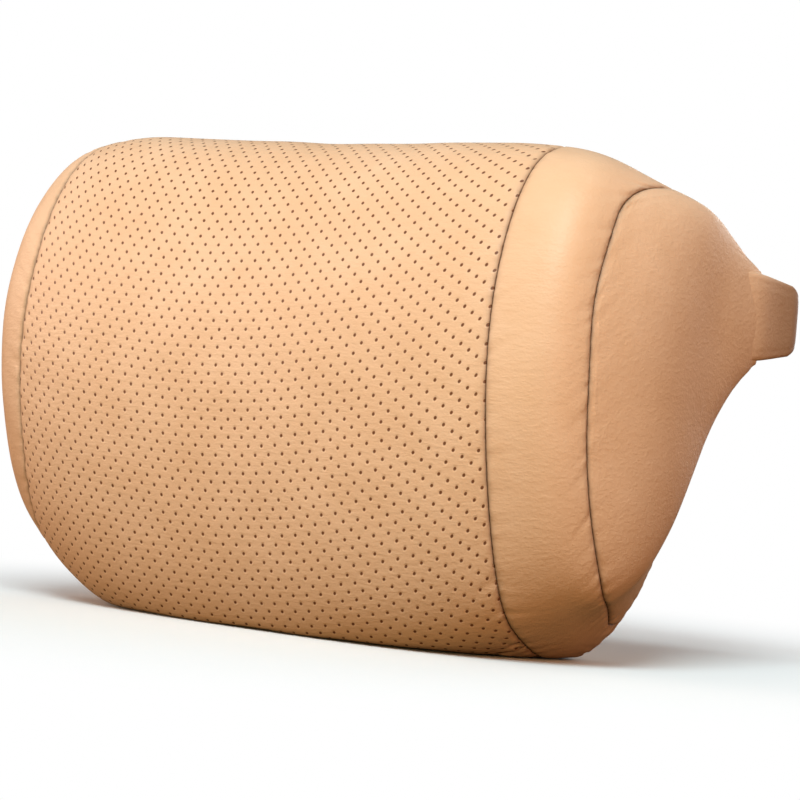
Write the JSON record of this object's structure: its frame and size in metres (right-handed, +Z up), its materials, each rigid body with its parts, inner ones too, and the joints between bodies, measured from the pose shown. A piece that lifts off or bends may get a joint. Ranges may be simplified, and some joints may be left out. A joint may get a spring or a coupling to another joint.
{
  "type": "head rest cushion",
  "caption": "Padded leather head-and-neck rest cushion with perforated front, side wings and a buckled elastic strap that holds it on a seat's head rest.",
  "frame": {"origin": "middle of the bounding box, on the flat underside", "axes": "+Z up, +X to the wearer-facing view's right along the cushion's width, the padded front faces -Y and the strap runs behind at +Y"},
  "size_m": [0.2856, 0.1506, 0.1743],
  "materials": {
    "front_panel": "satin",
    "base_panel": "satin",
    "right_band": "satin",
    "left_band": "satin",
    "right_end_panel": "satin",
    "left_end_panel": "satin",
    "right_wing_lining": "satin",
    "left_wing_lining": "satin",
    "rear_panel_upper": "satin",
    "rear_panel_lower": "satin",
    "right_strap_tab": "satin",
    "left_strap_tab": "satin",
    "foam_core": "matt foam",
    "right_wing_foam": "matt foam",
    "left_wing_foam": "matt foam",
    "antislip_pad": "matt",
    "zip_tape_upper": "woven",
    "zip_tape_lower": "woven",
    "zip_coil_upper": "satin",
    "zip_coil_lower": "satin",
    "zip_stop_left": "satin",
    "zip_stop_right": "satin",
    "zip_slider": "satin",
    "zip_pull": "satin",
    "right_strap": "woven",
    "left_strap": "woven",
    "tri_glide": "satin",
    "buckle_socket": "satin",
    "buckle_plug": "satin",
    "buckle_prong_upper": "satin",
    "buckle_prong_lower": "satin"
  },
  "bodies": {
    "cushion": {"front_panel": "front_panel", "base_panel": "base_panel", "right_band": "right_band", "left_band": "left_band", "right_end_panel": "right_end_panel", "left_end_panel": "left_end_panel", "right_wing_lining": "right_wing_lining", "left_wing_lining": "left_wing_lining", "rear_panel_upper": "rear_panel_upper", "rear_panel_lower": "rear_panel_lower", "right_strap_tab": "right_strap_tab", "left_strap_tab": "left_strap_tab", "foam_core": "foam_core", "right_wing_foam": "right_wing_foam", "left_wing_foam": "left_wing_foam", "antislip_pad": "antislip_pad", "zip_tape_upper": "zip_tape_upper", "zip_tape_lower": "zip_tape_lower", "zip_coil_upper": "zip_coil_upper", "zip_coil_lower": "zip_coil_lower", "zip_stop_left": "zip_stop_left", "zip_stop_right": "zip_stop_right", "right_strap": "right_strap", "left_strap": "left_strap", "buckle_socket": "buckle_socket", "buckle_plug": "buckle_plug"},
    "zip_slider": {"zip_slider": "zip_slider"},
    "zip_pull": {"zip_pull": "zip_pull"},
    "tri_glide": {"tri_glide": "tri_glide"},
    "prong_upper": {"buckle_prong_upper": "buckle_prong_upper"},
    "prong_lower": {"buckle_prong_lower": "buckle_prong_lower"}
  },
  "joints": [
    {"name": "zip_slide", "type": "slide", "parent": "cushion", "child": "zip_slider", "axis": [1, 0, 0], "range_m": [0, 0.12]},
    {"name": "pull_swing", "type": "hinge", "parent": "zip_slider", "child": "zip_pull", "pos_m": [-0.06, 0.00962, 0.038], "axis": [1, 0, 0], "range_deg": [0, 100]},
    {"name": "glide_slide", "type": "slide", "parent": "cushion", "child": "tri_glide", "axis": [1, 0, 0], "range_m": [-0.022, 0.03]},
    {"name": "prong_upper_squeeze", "type": "hinge", "parent": "cushion", "child": "prong_upper", "pos_m": [-0.0132, 0.07027, 0.1307], "axis": [0, 1, 0], "range_deg": [0, 12], "stiffness_Nm_per_rad": 0.35},
    {"name": "prong_lower_squeeze", "type": "hinge", "parent": "cushion", "child": "prong_lower", "pos_m": [-0.0132, 0.07027, 0.1133], "axis": [0, 1, 0], "range_deg": [-12, 0], "stiffness_Nm_per_rad": 0.35}
  ]
}
